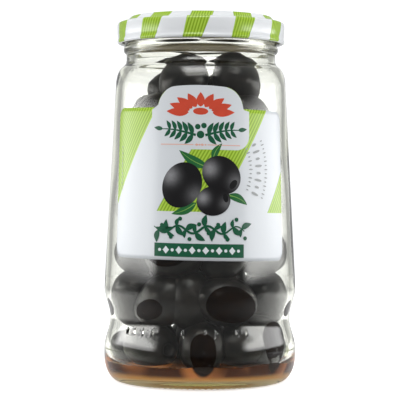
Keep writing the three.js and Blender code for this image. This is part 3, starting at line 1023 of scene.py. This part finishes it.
brine_outline = [(0.0, floor_centre - wet)]
brine_outline += [(r, floor_z(r) - wet) for r in spaced(4 * MM, floor_radius, 8)]
wall_z = spaced(floor_edge + 0.3 * MM, brine_z + brine_brim, 14)
brine_outline += [(inner_radius(z) + wet, z) for z in wall_z]
brine_edge = inner_radius(brine_z)
top_start = len(brine_outline)
brine_outline += [(brine_edge - 0.02 * MM, brine_z + 1.1 * MM), (brine_edge - 0.2 * MM, brine_z + 0.65 * MM)]
brine_outline += [(brine_edge - 0.6 * MM, brine_z + 0.3 * MM), (brine_edge - 1.2 * MM, brine_z + 0.1 * MM)]
brine_outline += [(r, brine_z) for r in spaced(brine_edge - 1.9 * MM, 1 * MM, 34)] + [(0.0, brine_z)]
brine = lathe("brine", brine_outline, round_turns(360), brine_rise)
gap = brine.data.attributes.new("gap", "FLOAT", "POINT")
second_gap = brine.data.attributes.new("second_gap", "FLOAT", "POINT")
for corner in brine.data.vertices:
    nearest, second = olive_gaps(corner.co)[:2]
    gap.data[corner.index].value = nearest / MM
    second_gap.data[corner.index].value = second / MM


def attribute(tree, name):
    """A value stored on the mesh's points."""
    made = tree.nodes.new("ShaderNodeAttribute")
    made.attribute_name = name
    return made.outputs["Fac"]


# Painted light in the brine: orange is a painted glow where its edge meets one olive, amber and cream a
# painted glow at its foot; dark brown is its own colour.
painted_orange_glow, deep_brown, skin_brown = (1.0, 0.36, 0.12), (0.11, 0.03, 0.008), (0.03, 0.015, 0.01)
painted_amber_glow, painted_cream_glow = (0.85, 0.4, 0.09), (0.95, 0.85, 0.6)
skin_gap, open_gap, pinch_gap = (0.1, 0.5), (0.8, 3.4), (3.5, 9.0)
amber_glow_fade, cream_glow_fade = (3.9 * MM, 5.4 * MM), (3.5 * MM, 4.1 * MM)
cloudy = glass_material("brine", 1.34, (0.72, 0.4, 0.12), 30, 0.5)
tree = cloudy.node_tree
height = axes_of(tree, "ShaderNodeTexCoord", "Object")[2]
to_olive = attribute(tree, "gap")
off_skin = stepped(tree, to_olive, *skin_gap, 0.0, 1.0)
far_from_one = stepped(tree, to_olive, *open_gap, 0.0, 1.0)
between_two = stepped(tree, attribute(tree, "second_gap"), *pinch_gap, 1.0, 0.0)
clear_of_glow = math_node(tree, "MAXIMUM", far_from_one, between_two)
# Painted glow low down: amber below about 4 to 5 mm, cream below about 3.5 to 4 mm.
off_floor = stepped(tree, height, *amber_glow_fade, 0.0, 1.0)
cream_glow_share = stepped(tree, height, *cream_glow_fade, 1.0, 0.0)
# The painted orange glow goes where the brine is near one olive, but neither at its skin nor pinched between
# two.
brown = mix_colour(tree, clear_of_glow, painted_orange_glow, deep_brown)
brown = mix_colour(tree, off_skin, skin_brown, brown)
brown = mix_colour(tree, off_floor, painted_amber_glow, brown)
cloudy_shader = tree.nodes["Principled BSDF"]
tree.links.new(mix_colour(tree, cream_glow_share, brown, painted_cream_glow), cloudy_shader.inputs["Base Color"])
cloudy_shader.inputs["Transmission Weight"].default_value = 0.35
cloudy_shader.inputs["Roughness"].default_value = 0.05
brine.data.materials.append(cloudy)
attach(brine, "root")

# The floor and the studio: a pale table under a white background. The table
# glows, a painted glow and no lamp: white in a strip behind the jar, under the
# jar's foot where the glass looks down to it, and faintly wherever the camera
# sees it straight on. A tall soft box stands at each side and a wide one hangs
# over the camera. The room on the camera's side is dim. Mirror reflections see
# the table and the background dimmer than they look through clear glass.
table_radius, camera_fill, table_loss, back_loss = 0.62, 0.3, 0.7, 0.8
grey_band, strip_edge, strip_glow = (-0.085, -0.02), (0.15, 0.25), 0.9
behind_jar, front_glow, foot_edges = (-0.06, 0.01), 0.1, (0.03, 0.045)
front_grey, back_grey, bare_white = (0.12, 0.12, 0.12), (0.55, 0.55, 0.55), (0.78, 0.78, 0.78)


def mirror_dimmed(tree, seen, light, loss):
    """A light level that loses a share where a mirror reflection sees it."""
    mirrored = math_node(tree, "SUBTRACT", seen["Is Glossy Ray"], seen["Is Transmission Ray"], clamp=True)
    return product(tree, light, math_node(tree, "MULTIPLY_ADD", mirrored, -loss, 1.0))


table = bmesh.new()
bmesh.ops.create_circle(table, cap_ends=True, segments=96, radius=table_radius)
floor = piece_of("floor", table)
white, white_shader, tree = new_material("table_white")
seen = tree.nodes.new("ShaderNodeLightPath").outputs
x, y, _ = axes_of(tree, "ShaderNodeTexCoord", "Object")
table_colour = mix_colour(tree, stepped(tree, y, *grey_band, 0.0, 1.0), front_grey, back_grey)
table_colour = mix_colour(tree, seen["Is Camera Ray"], table_colour, bare_white)
tree.links.new(table_colour, white_shader.inputs["Base Color"])
white_shader.inputs["Roughness"].default_value = 0.9
white_shader.inputs["Specular IOR Level"].default_value = 0.1
white_shader.inputs["Emission Color"].default_value = (1, 1, 1, 1)
# Painted glow on the table: a strip behind the jar, a patch under its foot seen only through the glass, and
# a faint glow seen only by the camera.
in_strip = stepped(tree, math_node(tree, "ABSOLUTE", x), *strip_edge, strip_glow, 0.0)
behind = stepped(tree, y, *behind_jar, front_glow, 1.0)
glow = mirror_dimmed(tree, seen, product(tree, in_strip, behind), table_loss)
fill = product(tree, seen["Is Camera Ray"], camera_fill)
off_axis = math_node(tree, "MULTIPLY_ADD", x, x, product(tree, y, y))
off_axis = math_node(tree, "SQRT", off_axis)
under_jar = stepped(tree, off_axis, *foot_edges, 1.0, 0.0)
lit_foot = product(tree, under_jar, seen["Is Transmission Ray"])
glow = math_node(tree, "MAXIMUM", math_node(tree, "MAXIMUM", glow, fill), lit_foot)
tree.links.new(glow, white_shader.inputs["Emission Strength"])
floor.data.materials.append(white)

world = bpy.data.worlds.new("studio")
bpy.context.scene.world = world
world.use_nodes = True
tree = world.node_tree
seen = tree.nodes.new("ShaderNodeLightPath").outputs
x, y, z = axes_of(tree, "ShaderNodeTexCoord", "Generated")
front_level, side_level, back_level, ceiling_level = 0.2, 0.42, 1.15, 0.2
front_fade, back_sides, back_start, ceiling_fade = (-0.2, 0.5), (0.3, 0.45), (0.1, 0.3), (0.4, 0.8)
room_light = stepped(tree, y, *front_fade, front_level, side_level)
back_light = math_node(tree, "ABSOLUTE", x)
back_light = stepped(tree, back_light, *back_sides, back_level - side_level, 0.0)
back_light = product(tree, back_light, stepped(tree, y, *back_start, 0.0, 1.0))
room_light = math_node(tree, "ADD", room_light, mirror_dimmed(tree, seen, back_light, back_loss))
ceiling = stepped(tree, z, *ceiling_fade, 0.0, ceiling_level)
room_light = math_node(tree, "ADD", room_light, ceiling)
room_light = math_node(tree, "MAXIMUM", room_light, seen["Is Camera Ray"])
tree.links.new(room_light, tree.nodes["Background"].inputs["Strength"])
tree.nodes["Background"].inputs["Color"].default_value = (0.985, 0.995, 1.0, 1)


def softbox(name, place, target, width, height, radiance):
    """A soft box whose brightness fades towards the edges of its face."""
    light = bpy.data.lights.new(name, "AREA")
    light.use_nodes = True
    tree = light.node_tree
    fades = []
    for across in axes_of(tree, "ShaderNodeNewGeometry", "Parametric")[:2]:
        off_centre = math_node(tree, "ABSOLUTE", math_node(tree, "SUBTRACT", across, 0.5))
        fades.append(stepped(tree, off_centre, 0.28, 0.5, 1.0, 0.0))
    tree.links.new(product(tree, *fades), tree.nodes["Emission"].inputs["Strength"])
    light.shape = "RECTANGLE"
    light.size, light.size_y = width, height
    light.energy = radiance * math.pi * width * height
    box = bpy.data.objects.new(name, light)
    box.location = place
    box.rotation_euler = (Vector(target) - Vector(place)).to_track_quat("-Z", "Y").to_euler()
    bpy.context.scene.collection.objects.link(box)


side_distance, side_front, side_back, side_low, side_high = 0.3, -0.26, 0.2, 0.036, 0.15
side_y, side_z = (side_front + side_back) / 2, (side_low + side_high) / 2
side_width, side_height, side_radiance = side_back - side_front, side_high - side_low, 5.3
for name, side in (("left_softbox", -1), ("right_softbox", 1)):
    place, facing = (side * side_distance, side_y, side_z), (0, side_y, side_z)
    softbox(name, place, facing, side_width, side_height, side_radiance)
top_place, jar_middle, top_width, top_depth, top_radiance = (0, -0.6, 0.75), (0, 0, 0.07), 0.8, 0.6, 5.8
softbox("top_softbox", top_place, jar_middle, top_width, top_depth, top_radiance)

scene = bpy.context.scene
scene.view_settings.view_transform = "Standard"
scene.cycles.max_bounces = 24
scene.cycles.transmission_bounces = 20
scene.cycles.glossy_bounces = 8
